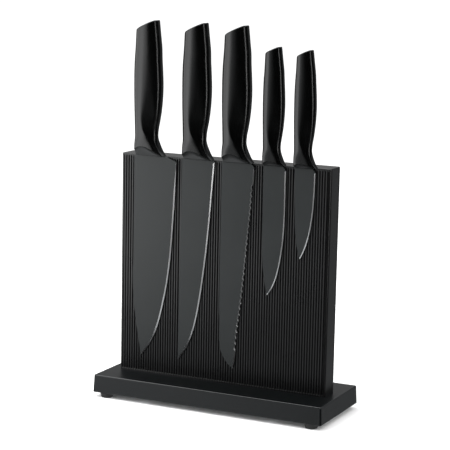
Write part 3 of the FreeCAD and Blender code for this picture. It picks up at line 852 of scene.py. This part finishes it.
# ---------------------------------------------------------------- CAD nodes that stay
def finish_cad_nodes(materials):
    """Gives every CAD node that is still shown its procedural material."""
    slots = {part["node"]: part["material_slot"] for part in frame["record"]["subparts"]}
    for node, thing in frame["nodes"].items():
        if thing.hide_render:
            continue
        thing.data.materials.clear()
        thing.data.materials.append(materials[slots[node]])


# ---------------------------------------------------------------- room
def make_floor():
    half = ROOM_SIZE / 2
    corners = [(-half, -half, 0.0), (half, -half, 0.0), (half, half, 0.0), (-half, half, 0.0)]
    mesh = bpy.data.meshes.new("floor")
    mesh.from_pydata(corners, [], [(0, 1, 2, 3)])
    floor = bpy.data.objects.new("floor", mesh)
    bpy.context.scene.collection.objects.link(floor)
    material, tree, shader = start_material("floor_paper")
    paper = object_noise(tree, 60.0, 2.0)
    tree.links.new(
        colour_between(tree, paper, (0.93, 0.93, 0.93), (0.95, 0.95, 0.95)), shader.inputs["Base Color"]
    )
    shader.inputs["Roughness"].default_value = 1.0
    shader.inputs["Specular IOR Level"].default_value = 0.0
    floor.data.materials.append(material)
    floor.visible_glossy = False


def area_light(name, place, target, width, height, power):
    data = bpy.data.lights.new(name, "AREA")
    data.shape = "RECTANGLE"
    data.size = width
    data.size_y = height
    data.energy = power
    lamp = bpy.data.objects.new(name, data)
    bpy.context.scene.collection.objects.link(lamp)
    lamp.visible_camera = False
    towards = Vector(target) - Vector(place)
    lamp.matrix_world = Matrix.Translation(place) @ towards.to_track_quat("-Z", "Y").to_matrix().to_4x4()
    return lamp


def alignment(nodes, links, place, direction):
    """How nearly a reflection looks in the given direction; 1 is straight along it."""
    product = nodes.new("ShaderNodeVectorMath")
    product.operation = "DOT_PRODUCT"
    product.inputs[1].default_value = direction
    links.new(place.outputs["Generated"], product.inputs[0])
    return product.outputs["Value"]


def glow(nodes, links, value, dark_at, full_at, strength):
    ramp = nodes.new("ShaderNodeMapRange")
    ramp.interpolation_type = "SMOOTHSTEP"
    ramp.inputs["From Min"].default_value = dark_at
    ramp.inputs["From Max"].default_value = full_at
    ramp.inputs["To Max"].default_value = strength
    links.new(value, ramp.inputs["Value"])
    return ramp.outputs["Result"]


def add(nodes, links, first, second):
    total = nodes.new("ShaderNodeMath")
    links.new(first, total.inputs[0])
    links.new(second, total.inputs[1])
    return total.outputs[0]


def make_world():
    """Even light for the paper and the matt parts; gloss sees a dark room with a few pale patches."""
    world = bpy.data.worlds.new("studio")
    world.use_nodes = True
    nodes = world.node_tree.nodes
    links = world.node_tree.links
    room = nodes["Background"]
    room.inputs["Color"].default_value = (1.0, 1.0, 1.0, 1.0)
    room.inputs["Strength"].default_value = ROOM_GLOW
    place = nodes.new("ShaderNodeTexCoord")
    split = nodes.new("ShaderNodeSeparateXYZ")
    links.new(place.outputs["Generated"], split.inputs["Vector"])
    table = glow(nodes, links, split.outputs["Z"], *TABLE_EDGE, TABLE_GLOSS)
    corner_line = alignment(nodes, links, place, CORNER_DIRECTION)
    corner = glow(nodes, links, corner_line, *CORNER_EDGE, CORNER_GLOSS)
    card_line = alignment(nodes, links, place, CARD_DIRECTION)
    card = glow(nodes, links, card_line, *CARD_EDGE, CARD_GLOSS)
    ceiling = glow(nodes, links, split.outputs["Z"], *CEILING_EDGE, CEILING_GLOSS)
    some = add(nodes, links, add(nodes, links, table, corner), ceiling)
    seen_in_gloss = nodes.new("ShaderNodeBackground")
    seen_in_gloss.inputs["Color"].default_value = (0.95, 0.98, 1.0, 1.0)
    links.new(add(nodes, links, some, card), seen_in_gloss.inputs["Strength"])
    path = nodes.new("ShaderNodeLightPath")
    mix = nodes.new("ShaderNodeMixShader")
    links.new(path.outputs["Is Glossy Ray"], mix.inputs["Fac"])
    links.new(room.outputs[0], mix.inputs[1])
    links.new(seen_in_gloss.outputs[0], mix.inputs[2])
    links.new(mix.outputs[0], nodes["World Output"].inputs["Surface"])
    bpy.context.scene.world = world


def make_lights():
    for light in SOFT_LIGHTS:
        area_light(*light)


# ---------------------------------------------------------------- camera
def make_camera():
    sin_yaw, cos_yaw = math.sin(CAMERA_YAW), math.cos(CAMERA_YAW)
    flat = math.cos(CAMERA_PITCH)
    ahead = Vector((-sin_yaw * flat, cos_yaw * flat, -math.sin(CAMERA_PITCH)))
    level = Vector((cos_yaw, sin_yaw, 0.0))
    upright = level.cross(ahead)
    right = level * math.cos(CAMERA_ROLL) + upright * math.sin(CAMERA_ROLL)
    up = upright * math.cos(CAMERA_ROLL) - level * math.sin(CAMERA_ROLL)
    data = bpy.data.cameras.new("camera")
    data.lens = CAMERA_LENS
    data.sensor_width = CAMERA_SENSOR
    data.clip_end = 200.0
    camera = bpy.data.objects.new("camera", data)
    bpy.context.scene.collection.objects.link(camera)
    turn = Matrix((right, up, -ahead)).transposed()
    camera.matrix_world = Matrix.Translation(CAMERA_PLACE) @ turn.to_4x4()
    bpy.context.scene.camera = camera


# ---------------------------------------------------------------- everything
def main():
    materials = make_materials()
    make_base(materials)
    for side in ("left", "right"):
        for face in ("front", "back"):
            make_foot(f"foot_{face}_{side}", materials)
    make_board_shell("board_front", "panel_front_shell", -1, materials)
    make_board_shell("board_back", "panel_back_shell", 1, materials)
    for name, grind in GRINDS.items():
        make_blade(name, materials, *grind)
        grip = Grip(name)
        make_bolster(name, grip, materials)
        make_handle(name, grip, materials)
    finish_cad_nodes(materials)
    make_floor()
    make_world()
    make_lights()
    make_camera()
    bpy.context.scene.view_settings.view_transform = "Standard"


main()
